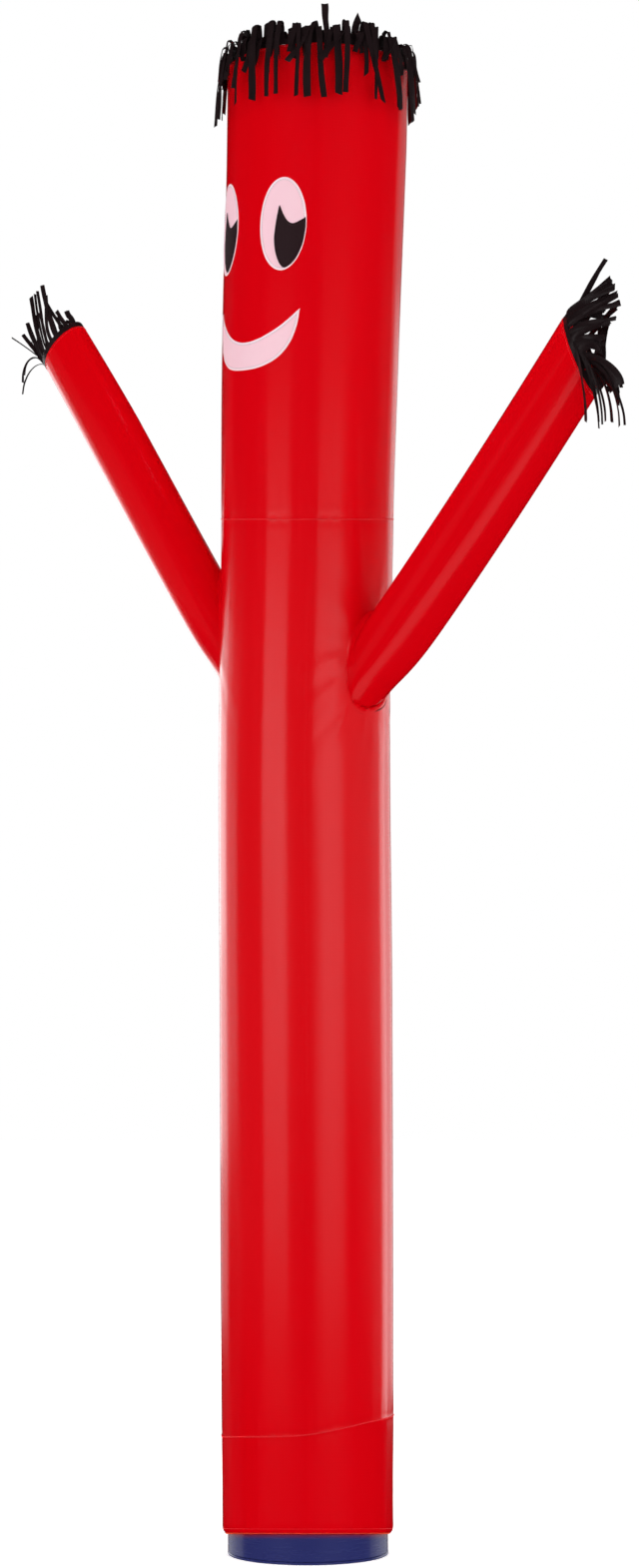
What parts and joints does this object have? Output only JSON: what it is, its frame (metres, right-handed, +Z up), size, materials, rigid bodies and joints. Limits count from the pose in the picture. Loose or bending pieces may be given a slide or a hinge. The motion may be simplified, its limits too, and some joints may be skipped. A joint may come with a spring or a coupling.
{
  "type": "inflatable air dancer on a blower ring",
  "caption": "Tall red cloth tube figure with a face, two raised arm tubes and black ribbon fringes, held upright over a plain round blower ring.",
  "frame": {"origin": "centre of the bounding box, at the height of the surface that the blower ring rests on", "axes": "+Z up along the tube; the face looks towards -Y, turned a little towards -X; the near arm points to +X and -Y"},
  "size_m": [1.1362, 0.7246, 2.8891],
  "materials": {
    "red_nylon": "satin ripstop nylon",
    "white_nylon": "satin nylon, sewn on",
    "black_nylon": "satin nylon ribbon",
    "blue_enamel": "gloss"
  },
  "bodies": {
    "root": {"blower_ring": "blue_enamel", "base_cuff": "red_nylon", "body_panel": "red_nylon", "head_panel": "red_nylon", "arm_left": "red_nylon", "arm_right": "red_nylon", "hair_fringe": "black_nylon", "hand_fringe_left": "black_nylon", "hand_fringe_right": "black_nylon", "eye_left": "white_nylon", "eye_right": "white_nylon", "pupil_left": "black_nylon", "pupil_right": "black_nylon", "mouth": "white_nylon"}
  },
  "joints": []
}
